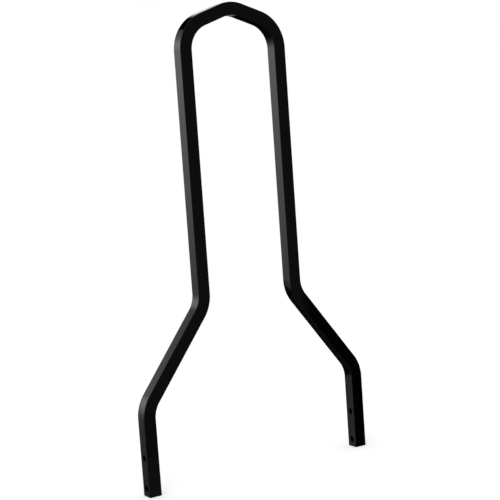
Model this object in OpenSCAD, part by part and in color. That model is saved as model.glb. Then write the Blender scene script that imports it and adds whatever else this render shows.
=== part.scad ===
// Sissy bar: one square steel bar, bent in a single plane into a tall narrow loop
// with a pointed crown, two upright legs and two feet that flare out to the struts.
// X = 0 is the middle of the loop, Y = 0 the middle of the bar, Z = 0 the plane of
// the foot ends. The front of the bar faces -Y.

/* [Bar] */
// Width of the square bar across its flats, over the coat
bar_w = 13; // [10:0.1:16]
// Radius along the bar's four long edges
edge_r = 0.4; // [0.2:0.1:2]
// Inside radius of every bend
bend_inside_r = 25.5; // [13:0.5:34]

/* [Loop] */
// Height of the top of the crown above the foot ends
overall_h = 473.7; // [300:0.1:700]
// Distance between the centre lines of the two legs
leg_spacing = 108.5; // [90:0.5:160]
// Height that the crown's centre line gains from a leg to the middle, before the bends
crown_rise = 19.1; // [10:0.1:40]

/* [Flare and feet] */
// Distance between the centre lines of the two feet
foot_spacing = 249.6; // [180:0.1:300]
// Height above the foot ends at which the centre lines of foot and flare cross
flare_start_h = 87; // [60:1:150]
// Height that the flare's centre line gains from the foot to the leg
flare_rise = 92; // [60:1:140]

/* [Bolt holes] */
// Number of holes in each foot
hole_count = 2; // [1:1:3]
// Diameter of the holes, a close fit on an M6 or quarter-inch bolt
hole_d = 6.4; // [4:0.1:8]
// Height of the lowest hole's centre above the foot end
hole_end = 8; // [6:0.5:20]
// Distance between the centres of neighbouring holes
hole_pitch = 30.5; // [15:0.5:40]

/* [Hidden] */
coat = "#121212";
bend_facets = 128;
edge_facets = 24;
hole_facets = 48;

// Radius of the bends at the bar's centre line, and a reach that is past the outside of any bend
bend_r = bend_inside_r + bar_w / 2;
bend_reach = bend_r + bar_w;

// Sideways step from a leg to its foot, and the two slopes that follow from it
leg_x = leg_spacing / 2;
flare_step = foot_spacing / 2 - leg_x;
crown_slope = atan(crown_rise / leg_x);
flare_angle = atan(flare_step / flare_rise);
shoulder_turn = 90 - crown_slope;

// Heights at which the straight centre lines cross
crown_corner_h = overall_h - bar_w / 2 + bend_r * (1 / cos(crown_slope) - 1);
shoulder_h = crown_corner_h - crown_rise;
flare_end_h = flare_start_h + flare_rise;

// Straight lengths: what is left between two corners once the bends have taken their share
crown_len = norm([leg_x, crown_rise]) - setback(2 * crown_slope) - setback(shoulder_turn);
leg_len = shoulder_h - flare_end_h - setback(shoulder_turn) - setback(flare_angle);
flare_len = norm([flare_step, flare_rise]) - 2 * setback(flare_angle);
foot_len = flare_start_h - setback(flare_angle);

// Which way a bend turns, seen along the bar from the crown down to the foot
inward = 1;
outward = -1;

// Distance from a corner of the centre line to where its bend begins
function setback(turn) = bend_r * tan(turn / 2);

// The bar's cross-section: a square with its corners rounded
module bar_section() {
    core = bar_w - 2 * edge_r;
    square([bar_w, core], center = true);
    square([core, bar_w], center = true);
    for (x = [-1, 1], y = [-1, 1])
        translate([x * core / 2, y * core / 2])
            circle(edge_r, $fn = edge_facets);
}

// A straight run along +X from the origin, with the rest of the bar carried at its end
module straight(length) {
    rotate([90, 0, 90])
        linear_extrude(length)
            bar_section();
    translate([length, 0, 0])
        children();
}

// All the space ahead of the plane X = 0 that a bend can reach
module ahead() {
    translate([0, -bar_w, -bend_reach])
        cube([bend_reach, 2 * bar_w, 2 * bend_reach]);
}

// A bend that starts along +X at the origin, with the rest of the bar carried at its end.
// It is the slice of a full ring between the square end planes of the two runs it joins,
// so its faces meet theirs exactly.
module bend(turn, way) {
    translate([0, 0, -way * bend_r]) {
        intersection() {
            rotate([90, 0, 0])
                rotate_extrude($fn = bend_facets)
                    translate([bend_r, 0])
                        bar_section();
            ahead();
            rotate([0, way * turn, 0])
                mirror([1, 0, 0])
                    ahead();
        }
        rotate([0, way * turn, 0])
            translate([0, 0, way * bend_r])
                children();
    }
}

// The right half of the bar, laid out from the middle of the crown down to the foot end
module half_bar() {
    translate([0, 0, overall_h - bar_w / 2])
        bend(crown_slope, inward)
        straight(crown_len)
        bend(shoulder_turn, inward)
        straight(leg_len)
        bend(flare_angle, outward)
        straight(flare_len)
        bend(flare_angle, inward)
        straight(foot_len);
}

// The column of bolt holes through both feet, drilled across the loop along X
module bolt_holes() {
    for (side = [-1, 1], i = [0 : hole_count - 1])
        translate([side * foot_spacing / 2, 0, hole_end + i * hole_pitch])
            rotate([0, 90, 0])
                cylinder(h = 2 * bar_w, d = hole_d, center = true, $fn = hole_facets);
}

module sissy_bar() {
    color(coat)
        difference() {
            union() {
                half_bar();
                mirror([1, 0, 0])
                    half_bar();
            }
            bolt_holes();
        }
}

sissy_bar();
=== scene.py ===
import math

import bpy
from mathutils import Matrix, Vector


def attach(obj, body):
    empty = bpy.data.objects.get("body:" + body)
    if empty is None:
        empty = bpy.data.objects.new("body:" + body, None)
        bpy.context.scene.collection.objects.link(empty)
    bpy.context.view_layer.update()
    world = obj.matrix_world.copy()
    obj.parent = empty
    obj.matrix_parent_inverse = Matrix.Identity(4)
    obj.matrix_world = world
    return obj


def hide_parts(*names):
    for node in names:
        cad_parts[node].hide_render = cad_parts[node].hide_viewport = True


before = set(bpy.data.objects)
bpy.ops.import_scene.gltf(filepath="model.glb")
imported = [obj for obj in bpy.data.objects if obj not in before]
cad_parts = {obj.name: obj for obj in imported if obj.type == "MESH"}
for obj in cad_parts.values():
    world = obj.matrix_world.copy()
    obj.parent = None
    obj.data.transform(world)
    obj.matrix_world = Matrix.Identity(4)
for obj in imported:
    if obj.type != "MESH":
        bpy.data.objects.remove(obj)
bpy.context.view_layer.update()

# One square bar bent into a tall loop: front towards -Y, feet on the floor at Z = 0, metres throughout
scene = bpy.context.scene
scene.view_settings.view_transform = "Standard"


# A socket that plain arithmetic works on: each sum adds its Math node to the tree that the socket is in
class Wire:
    def __init__(self, tree, socket):
        self.tree = tree
        self.socket = socket

    def __getitem__(self, name):
        return Wire(self.tree, self.socket.node.outputs[name])

    def maths(self, operation, *others):
        values = dict(enumerate((self, *others)))
        return self.tree.add("ShaderNodeMath", {"operation": operation}, values)

    def swapped(self, operation, first):
        return self.tree.add("ShaderNodeMath", {"operation": operation}, {0: first, 1: self})

    def __add__(self, other):
        return self.maths("ADD", other)

    def __sub__(self, other):
        return self.maths("SUBTRACT", other)

    def __mul__(self, other):
        return self.maths("MULTIPLY", other)

    def __truediv__(self, other):
        return self.maths("DIVIDE", other)

    def __pow__(self, other):
        return self.maths("POWER", other)

    def __rsub__(self, first):
        return self.swapped("SUBTRACT", first)

    def __rtruediv__(self, first):
        return self.swapped("DIVIDE", first)

    def __rpow__(self, first):
        return self.swapped("POWER", first)

    __radd__ = __add__
    __rmul__ = __mul__

    def __gt__(self, other):
        return self.maths("GREATER_THAN", other)

    def __lt__(self, other):
        return self.maths("LESS_THAN", other)

    def lowest(self, other):
        return self.maths("MINIMUM", other)

    def highest(self, other):
        return self.maths("MAXIMUM", other)


# A shader or geometry tree. add() takes a node's type, its settings and its sockets' values or links
class Tree:
    def __init__(self, nodeTree):
        self.nodeTree = nodeTree
        nodeTree.nodes.clear()

    def add(self, kind, settings=None, sockets=None):
        node = self.nodeTree.nodes.new(kind)
        for name, value in (settings or {}).items():
            if name == "stops":
                self.setStops(node.color_ramp, value)
            elif name == "items":
                while len(node.index_switch_items) < value:
                    node.index_switch_items.new()
            else:
                setattr(node, name, value)
        for name, value in (sockets or {}).items():
            if isinstance(value, Wire):
                self.nodeTree.links.new(value.socket, node.inputs[name])
            else:
                node.inputs[name].default_value = value
        outputs = [socket for socket in node.outputs if socket.enabled]
        return Wire(self, outputs[0]) if outputs else None

    def setStops(self, ramp, stops):
        while len(ramp.elements) < len(stops):
            ramp.elements.new(1.0)
        for element, (position, grey) in zip(ramp.elements, stops):
            element.position = position
            element.color = (grey, grey, grey, 1.0)


def newMaterial(name):
    material = bpy.data.materials.new(name)
    material.use_nodes = True
    return material, Tree(material.node_tree)


# Black coat: glossy, nearly mirror smooth, with the faint skin that sprayed paint keeps
coat = {
    "colour": (0.0009, 0.0009, 0.0009, 1.0),
    "ior": 1.35,
    "roughness": 0.035,
    "filmSpread": 0.02,  # how far the roughness wanders over the bar
    "filmScale": 40.0,
    "filmDetail": 3.0,
    "filmFineness": 0.55,
    "skinSize": 0.0014,
    "skinDepth": 0.0000012,
    "skinDetail": 1.0,
}


def makeCoat():
    material, tree = newMaterial("gloss_black_coat")
    place = tree.add("ShaderNodeTexCoord")["Object"]
    film = tree.add("ShaderNodeTexNoise", {}, {
        "Vector": place,
        "Scale": coat["filmScale"],
        "Detail": coat["filmDetail"],
        "Roughness": coat["filmFineness"]})
    skin = tree.add("ShaderNodeTexNoise", {}, {
        "Vector": place, "Scale": 1 / coat["skinSize"], "Detail": coat["skinDetail"]})
    roughness = coat["roughness"] + (film - 0.5) * coat["filmSpread"]
    bump = tree.add("ShaderNodeBump", {}, {
        "Strength": 1.0, "Distance": coat["skinDepth"], "Height": skin})
    shader = tree.add("ShaderNodeBsdfPrincipled", {}, {
        "Base Color": coat["colour"], "IOR": coat["ior"], "Roughness": roughness, "Normal": bump})
    tree.add("ShaderNodeOutputMaterial", {}, {"Surface": shader})
    return material


blackCoat = makeCoat()
print("coat ready")

# The bar. Its widths, heights and spacings are those of the CAD solid
bar = {
    "Bar width": 0.013,
    "Edge radius": 0.0004,
    "Bend radius": 0.032,  # of the centre line
    "Overall height": 0.4737,
    "Leg spacing": 0.1085,
    "Crown rise": 0.0191,
    "Foot spacing": 0.2496,
    "Flare start height": 0.087,
    "Flare rise": 0.092,
    "Foot end rounding": 0.0004,
    "Hole diameter": 0.0064,
    "Lowest hole height": 0.008,
    "Hole pitch": 0.0305,
    "Hole countersink": 0.0003,
    "Holes per foot": 2,
    "Bend segments": 32,
    "Edge segments": 6,
    "End segments": 4,
    "Hole segments": 64,
    "Crease angle": math.radians(30),  # an edge that turns by more than this stays sharp
}


def addInputs(nodeTree, sizes):
    sockets = {}
    for name, value in sizes.items():
        kind = "NodeSocketInt" if isinstance(value, int) else "NodeSocketFloat"
        socket = nodeTree.interface.new_socket(name, in_out="INPUT", socket_type=kind)
        socket.default_value = value
        sockets[name] = socket.identifier
    return sockets


# The value that stands at an index in a list
def pick(tree, index, values):
    switch = {"data_type": "FLOAT", "items": len(values)}
    numbered = {str(n): value for n, value in enumerate(values)}
    return tree.add("GeometryNodeIndexSwitch", switch, {"Index": index, **numbered})


# Centre line from foot to foot. Its points are counted both ways from k = 0 at the crown's corner: 1 is
# a shoulder's corner, 2 and 3 are a flare's, and from 4 on they are the rings that round the foot's end
def addCentreLine(tree, given):
    footEnd = 4
    width = given["Bar width"]
    bend = given["Bend radius"]
    ends = given["End segments"]
    rise = given["Crown rise"]
    legX = given["Leg spacing"] / 2
    footX = given["Foot spacing"] / 2
    flareZ = given["Flare start height"]
    slopeStretch = ((rise / legX) ** 2 + 1) ** 0.5
    crownZ = given["Overall height"] - width / 2 + bend * (slopeStretch - 1)

    middle = ends + footEnd
    step = tree.add("GeometryNodeInputIndex") - middle
    k = step.maths("ABSOLUTE")
    corner = k.lowest(footEnd)
    turn = (k - footEnd) / ends * (math.pi / 2)
    ringZ = given["Foot end rounding"] * (1 - turn.maths("SINE"))
    x = pick(tree, corner, [0.0, legX, legX, footX, footX])
    z = pick(tree, corner, [crownZ, crownZ - rise, flareZ + given["Flare rise"], flareZ, ringZ])
    spot = tree.add("ShaderNodeCombineXYZ", {}, {"X": x * step.maths("SIGN"), "Z": z})

    line = tree.add("GeometryNodeMeshLine", {}, {"Count": middle * 2 + 1, "Offset": (0, 0, 1)})
    line = tree.add("GeometryNodeSetPosition", {}, {"Geometry": line, "Position": spot})
    path = tree.add("GeometryNodeMeshToCurve", {}, {"Mesh": line})
    return tree.add("GeometryNodeFilletCurve", {"mode": "POLY"}, {
        "Curve": path, "Count": given["Bend segments"], "Radius": bend * (k < footEnd)})


# The section is a square with rounded corners, and it shrinks in the end rings to round the foot's end
def addSweep(tree, given, path):
    width = given["Bar width"]
    rounding = given["Foot end rounding"]
    square = tree.add("GeometryNodeCurvePrimitiveQuadrilateral", {}, {"Width": width, "Height": width})
    section = tree.add("GeometryNodeFilletCurve", {"mode": "POLY"}, {
        "Curve": square, "Count": given["Edge segments"], "Radius": given["Edge radius"]})
    position = tree.add("GeometryNodeInputPosition")
    height = tree.add("ShaderNodeSeparateXYZ", {}, {"Vector": position})["Z"]
    depth = (rounding - height).highest(0).lowest(rounding)
    shrink = rounding - (rounding ** 2 - depth ** 2).highest(0) ** 0.5
    return tree.add("GeometryNodeCurveToMesh", {}, {
        "Curve": path, "Profile Curve": section, "Scale": 1 - shrink * 2 / width, "Fill Caps": True})


# One drill for each hole: a turned pin along X, with a cone at each end that countersinks the bar's face
def addDrills(tree, given):
    halfWidth = given["Bar width"] / 2
    radius = given["Hole diameter"] / 2
    sink = given["Hole countersink"]
    index = tree.add("GeometryNodeInputIndex")
    pinX = [0 - halfWidth - sink, sink - halfWidth, halfWidth - sink, halfWidth + sink]
    coneRadius = radius + sink * 2
    along = pick(tree, index, pinX)
    across = pick(tree, index, [coneRadius, radius, radius, coneRadius])
    spot = tree.add("ShaderNodeCombineXYZ", {}, {"X": along})
    pin = tree.add("GeometryNodeMeshLine", {}, {"Count": len(pinX), "Offset": (1, 0, 0)})
    pin = tree.add("GeometryNodeSetPosition", {}, {"Geometry": pin, "Position": spot})
    pin = tree.add("GeometryNodeMeshToCurve", {}, {"Mesh": pin})
    ring = tree.add("GeometryNodeCurvePrimitiveCircle", {}, {
        "Resolution": given["Hole segments"], "Radius": 1.0})
    drill = tree.add("GeometryNodeCurveToMesh", {}, {
        "Curve": pin, "Profile Curve": ring, "Scale": across, "Fill Caps": True})

    # Both feet get the same column of holes
    count = given["Holes per foot"]
    column = given["Hole pitch"] * (count - 1)
    grid = tree.add("GeometryNodeMeshGrid", {}, {
        "Size X": given["Foot spacing"], "Size Y": column, "Vertices X": 2, "Vertices Y": count})
    position = tree.add("GeometryNodeInputPosition")
    flat = tree.add("ShaderNodeSeparateXYZ", {}, {"Vector": position})
    holeZ = flat["Y"] + column / 2 + given["Lowest hole height"]
    spot = tree.add("ShaderNodeCombineXYZ", {}, {"X": flat["X"], "Z": holeZ})
    grid = tree.add("GeometryNodeSetPosition", {}, {"Geometry": grid, "Position": spot})
    drills = tree.add("GeometryNodeInstanceOnPoints", {}, {"Points": grid, "Instance": drill})
    return tree.add("GeometryNodeRealizeInstances", {}, {"Geometry": drills})


# The bar is one section swept along its centre line, then cross-drilled
def makeBarTree():
    nodeTree = bpy.data.node_groups.new("bent bar", "GeometryNodeTree")
    sockets = addInputs(nodeTree, bar)
    coatInput = nodeTree.interface.new_socket("Coat", in_out="INPUT", socket_type="NodeSocketMaterial")
    sockets["Coat"] = coatInput.identifier
    nodeTree.interface.new_socket("Bar", in_out="OUTPUT", socket_type="NodeSocketGeometry")
    tree = Tree(nodeTree)
    given = tree.add("NodeGroupInput")
    sweep = addSweep(tree, given, addCentreLine(tree, given))
    drilled = tree.add("GeometryNodeMeshBoolean", {"operation": "DIFFERENCE", "solver": "EXACT"}, {
        "Mesh 1": sweep, "Mesh 2": addDrills(tree, given)})
    crease = tree.add("GeometryNodeInputMeshEdgeAngle") > given["Crease angle"]
    smooth = tree.add("GeometryNodeSetShadeSmooth", {}, {"Geometry": drilled, "Shade Smooth": True})
    smooth = tree.add("GeometryNodeSetShadeSmooth", {"domain": "EDGE"}, {
        "Geometry": smooth, "Selection": crease, "Shade Smooth": False})
    whole = tree.add("GeometryNodeRealizeInstances", {}, {"Geometry": smooth})
    coated = tree.add("GeometryNodeSetMaterial", {}, {"Geometry": whole, "Material": given["Coat"]})
    tree.add("NodeGroupOutput", {}, {"Bar": coated})
    return nodeTree, sockets


# Runs the tree on an empty mesh and keeps the result as a plain mesh, with its modifiers gone
def makeBar():
    nodeTree, sockets = makeBarTree()
    seed = bpy.data.objects.new("seed", bpy.data.meshes.new("seed"))
    scene.collection.objects.link(seed)
    modifier = seed.modifiers.new("bent bar", "NODES")
    modifier.node_group = nodeTree
    for name, value in bar.items():
        modifier[sockets[name]] = value
    modifier[sockets["Coat"]] = blackCoat
    weighted = seed.modifiers.new("flat faces", "WEIGHTED_NORMAL")
    weighted.keep_sharp = True
    graph = bpy.context.evaluated_depsgraph_get()
    mesh = bpy.data.meshes.new_from_object(seed.evaluated_get(graph), depsgraph=graph)
    mesh.name = "bent_bar"
    if mesh.materials[0] is None:  # the cut leaves an empty slot ahead of the coat's
        mesh.materials.pop(index=0)
    bpy.data.objects.remove(seed)
    piece = bpy.data.objects.new("bent_bar", mesh)
    scene.collection.objects.link(piece)
    return piece


bentBar = makeBar()
print("bar made:", len(bentBar.data.vertices), "points,", len(bentBar.data.polygons), "faces")
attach(bentBar, "root")
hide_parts("sissy_bar")

# Camera: the photograph's standpoint, in front of the bar, to its left and a little above its middle
view = {
    "place": (-0.66865, -1.08487, 0.36456),
    "yaw": 31.884,
    "pitch": -6.179,
    "roll": -4.041,
    "lens": 91.50,
}


def makeCamera():
    camera = bpy.data.objects.new("camera", bpy.data.cameras.new("camera"))
    camera.data.lens = view["lens"]
    turns = [(-view["yaw"], "Z"), (90 + view["pitch"], "X"), (view["roll"], "Z")]
    pose = Matrix.Translation(view["place"])
    for angle, axis in turns:
        pose = pose @ Matrix.Rotation(math.radians(angle), 4, axis)
    camera.matrix_world = pose
    scene.collection.objects.link(camera)
    scene.camera = camera


makeCamera()
print("camera placed")

# Studio: a white floor in a white room, with panels that only the coat's reflections see.
# The panels glow or stay dark, and so paint the highlights and dark reflections in the coat
studio = {
    "white": 1.0,
    "roomLight": 0.8,
    "floorRadius": 0.9,
    "floorSides": 96,
    "floorGrey": 0.8,
    "lampPower": 3.0,
    "lampSize": 0.8,
    "lampPlace": (-0.7, -0.6, 1.4),
    "lampAim": (0.0, 0.0, 0.1),
}


# 1 for the rays that meet plain white: the camera's own, those off a glossy face and those through glass
def whiteRays(tree):
    rays = tree.add("ShaderNodeLightPath")
    return rays["Is Camera Ray"].highest(rays["Is Glossy Ray"]).highest(rays["Is Transmission Ray"])


def makeWorld():
    world = bpy.data.worlds.new("studio")
    world.use_nodes = True
    tree = Tree(world.node_tree)
    light = studio["roomLight"]
    strength = whiteRays(tree) * (studio["white"] - light) + light
    room = tree.add("ShaderNodeBackground", {}, {"Color": (1, 1, 1, 1), "Strength": strength})
    tree.add("ShaderNodeOutputWorld", {}, {"Surface": room})
    scene.world = world


makeWorld()


def stageMesh(name, points, faces, material):
    mesh = bpy.data.meshes.new(name)
    mesh.from_pydata(points, [], faces)
    mesh.materials.append(material)
    thing = bpy.data.objects.new(name, mesh)
    scene.collection.objects.link(thing)
    return thing


def makeFloor():
    sides = studio["floorSides"]
    radius = studio["floorRadius"]
    grey = studio["floorGrey"]
    turns = [2 * math.pi * n / sides for n in range(sides)]
    points = [(radius * math.cos(turn), radius * math.sin(turn), 0) for turn in turns]
    material, tree = newMaterial("pale_floor")
    lift = whiteRays(tree) * (studio["white"] - grey * studio["roomLight"])
    diffuse = tree.add("ShaderNodeBsdfDiffuse", {}, {"Color": (grey, grey, grey, 1)})
    glow = tree.add("ShaderNodeEmission", {}, {"Color": (1, 1, 1, 1), "Strength": lift})
    both = tree.add("ShaderNodeAddShader", {}, {0: diffuse, 1: glow})
    tree.add("ShaderNodeOutputMaterial", {}, {"Surface": both})
    stageMesh("floor", points, [tuple(range(sides))], material)


makeFloor()


# A panel that only reflections see: a painted reflection, glowing or dark, in the coat. Its glow follows
# steps of (metres, brightness) along one direction
def makePanel(name, points, faces, along, steps):
    material, tree = newMaterial(name)
    place = tree.add("ShaderNodeTexCoord")["Object"]
    reach = tree.add("ShaderNodeVectorMath", {"operation": "DOT_PRODUCT"}, {0: place, 1: along})
    first, last = steps[0][0], steps[-1][0]
    peak = max(level for _, level in steps)
    stops = [((spot - first) / (last - first), level / peak) for spot, level in steps]
    ramp = tree.add("ShaderNodeValToRGB", {"stops": stops}, {"Fac": (reach - first) / (last - first)})
    glow = tree.add("ShaderNodeEmission", {}, {"Color": ramp, "Strength": peak})
    tree.add("ShaderNodeOutputMaterial", {}, {"Surface": glow})
    panel = stageMesh(name, points, faces, material)
    panel.visible_camera = False
    panel.visible_diffuse = False
    panel.visible_shadow = False


# Bands that glow far off, set like the walls of a round room, each over a range of compass angles
# (0 is +Y, 90 is +X). Only reflections see them: they paint the bright and dark bands reflected in the
# coat's sides, shoulders and bends. The steps are (degrees above the horizon, brightness)
reflectionBands = {
    "distance": 10.0,
    "middle": 0.25,  # the height that the angles are measured from
    "segments": 24,
    "soft_wall": {"from": -31.5, "to": -5.0, "steps": [
        (-21.5, 0.02), (-14, 0.26), (-8, 0.6), (-2, 1.1), (4, 1.75), (9, 2.15), (13, 2.2),
        (17, 1.8), (22, 0.85), (25, 0.6), (28.9, 0.35), (29.3, 0.0), (34, 0.0), (50, 0.7)]},
    "bright_wall": {"from": -80.0, "to": -31.5, "steps": [
        (-21.5, 0.02), (-14, 0.34), (-8, 0.75), (-2, 1.35), (6, 2.2), (13, 2.3), (20, 1.45),
        (28.5, 0.35), (29, 0.0), (34, 0.0), (50, 0.7)]},
    "back_wall": {"from": -5.0, "to": 75.0, "steps": [
        (-21.5, 0.01), (-19, 0.06), (-15, 0.27), (6, 0.27), (8, 1.2), (17, 1.1), (22, 0.85),
        (26, 0.3), (26.5, 0.0), (34, 0.0), (50, 0.7)]},
}


def makeWall(name):
    def height(angle):
        return reflectionBands["middle"] + reflectionBands["distance"] * math.tan(math.radians(angle))

    wall = reflectionBands[name]
    steps = [(height(angle), level) for angle, level in wall["steps"]]
    bottom, top = steps[0][0], steps[-1][0]
    count = reflectionBands["segments"]
    points = []
    for n in range(count + 1):
        turn = math.radians(wall["from"] + (wall["to"] - wall["from"]) * n / count)
        x = reflectionBands["distance"] * math.sin(turn)
        y = reflectionBands["distance"] * math.cos(turn)
        points += [(x, y, bottom), (x, y, top)]
    faces = [(2 * n, 2 * n + 1, 2 * n + 3, 2 * n + 2) for n in range(count)]
    makePanel(name, points, faces, (0, 0, 1), steps)


for name in ("soft_wall", "bright_wall", "back_wall"):
    makeWall(name)

# Dark card across the whole front that only reflections see: a painted dark reflection in the front
# faces, grey, then black towards its right end
frontCard = {
    "corners": [
        (-0.50, -0.912, 0.0), (0.26, -0.091, 0.0), (0.26, -0.091, 0.75), (-0.50, -0.912, 0.75)],
    "along": (1, 0, 0),
    "steps": [(-0.50, 0.15), (0.176, 0.15), (0.186, 0.0), (0.26, 0.0)],
}
makePanel("front_card", frontCard["corners"], [(0, 1, 2, 3)], frontCard["along"], frontCard["steps"])

# Dark cards on the white floor behind and in front of the feet, which only reflections see: a painted
# dark reflection of the floor in the feet and in the undersides of the right flare and shoulder. Each
# card is turned about Z, and its steps run along its "across" range
groundCards = {
    "back_ground": {
        "turn": 36.0, "across": (-0.30, 1.4), "deep": (-0.07, 1.08), "height": 0.0003,
        "steps": [
            (-0.30, 0.17), (-0.115, 0.17), (-0.06, 0.275), (-0.025, 0.62), (0.04, 0.5), (0.0965, 0.45),
            (0.1035, 0.17), (0.111, 0.021), (0.3, 0.016), (0.6, 0.005), (1.2, 0.003), (1.4, 0.1)]},
    "front_ground": {
        "turn": 30.0, "across": (-0.62, 0.50), "deep": (-0.50, 0.10), "height": 0.0001,
        "steps": [(-0.62, 0.115), (0.02, 0.115), (0.06, 0.0), (0.50, 0.0)]},
}


def makeGroundCard(name):
    card = groundCards[name]
    turn = math.radians(card["turn"])
    across = Vector((math.cos(turn), math.sin(turn), 0))
    deep = Vector((-math.sin(turn), math.cos(turn), 0))
    lift = Vector((0, 0, card["height"]))
    left, right = card["across"]
    near, far = card["deep"]
    ends = [(left, near), (right, near), (right, far), (left, far)]
    corners = [across * u + deep * v + lift for u, v in ends]
    makePanel(name, corners, [(0, 1, 2, 3)], across, card["steps"])


for name in groundCards:
    makeGroundCard(name)


def makeLamp():
    data = bpy.data.lights.new("key_lamp", "AREA")
    data.shape = "DISK"
    data.size = studio["lampSize"]
    data.energy = studio["lampPower"]
    lamp = bpy.data.objects.new("key_lamp", data)
    place = Vector(studio["lampPlace"])
    turn = (place - Vector(studio["lampAim"])).to_track_quat("Z", "Y")
    lamp.matrix_world = Matrix.Translation(place) @ turn.to_matrix().to_4x4()
    lamp.visible_glossy = False
    scene.collection.objects.link(lamp)


makeLamp()
print("studio ready")
